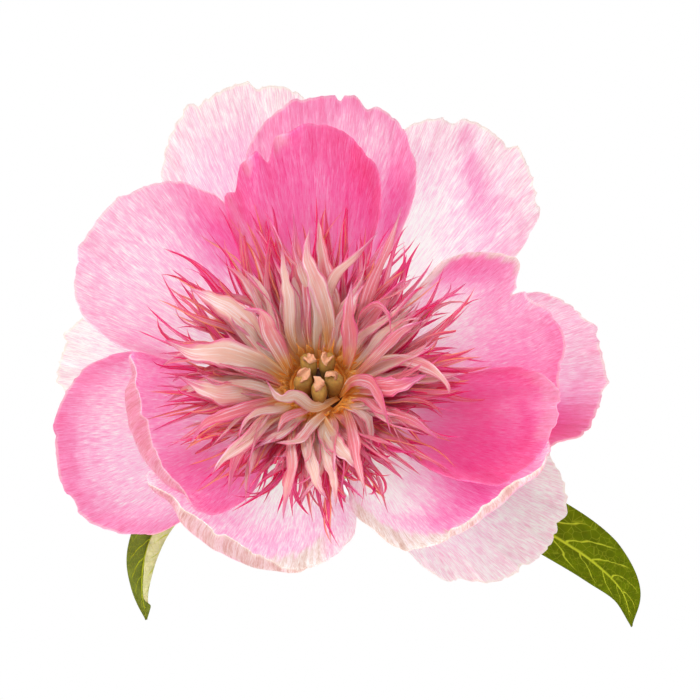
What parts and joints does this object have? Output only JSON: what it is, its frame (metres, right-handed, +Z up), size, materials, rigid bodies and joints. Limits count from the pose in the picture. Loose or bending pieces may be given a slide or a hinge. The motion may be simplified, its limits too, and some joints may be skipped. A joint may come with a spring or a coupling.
{
  "type": "peony",
  "caption": "Open peony bloom of the Japanese form, with cupped pink petals, a burst of cream and magenta staminodes round the carpels, leaves and a short cut stem.",
  "frame": {"origin": "middle of the underside of the flower's box, on the surface that the flower lies on", "axes": "+Z up from the surface, +Y towards the back petals that the bloom leans on, away from the cut end of the stem, +X towards the longer leaf"},
  "size_m": [0.1666, 0.1588, 0.0721],
  "materials": {
    "guard_petal": "soft thin petal, near white towards its rim",
    "middle_petal": "soft thin petal, veined pink",
    "inner_petal": "soft thin petal, deep veined pink",
    "outer_staminode": "soft magenta ribbon with a pale yellow edge",
    "inner_staminode": "soft cream ribbon with a lilac edge",
    "carpel": "downy olive brown with a salmon crest",
    "sepal": "satin green",
    "leaf": "satin olive green with yellow veins",
    "stem": "smooth satin green"
  },
  "bodies": {
    "root": {"petal_guard_back_left": "guard_petal", "petal_guard_back_right": "guard_petal", "petal_guard_right": "guard_petal", "petal_guard_front_right": "guard_petal", "petal_guard_left": "guard_petal", "petal_middle_back": "middle_petal", "petal_middle_right": "middle_petal", "petal_middle_front_right": "middle_petal", "petal_middle_front": "middle_petal", "petal_middle_left": "middle_petal", "petal_middle_back_left": "middle_petal", "petal_inner_back": "inner_petal", "petal_inner_right": "inner_petal", "petal_inner_left": "inner_petal", "staminodes_outer": "outer_staminode", "staminodes_inner": "inner_staminode", "carpel_1": "carpel", "carpel_2": "carpel", "carpel_3": "carpel", "carpel_4": "carpel", "carpel_5": "carpel", "sepal_1": "sepal", "sepal_2": "sepal", "sepal_3": "sepal", "sepal_4": "sepal", "sepal_5": "sepal", "stem": "stem", "leaf_right": "leaf", "leaf_left": "leaf"}
  },
  "joints": []
}
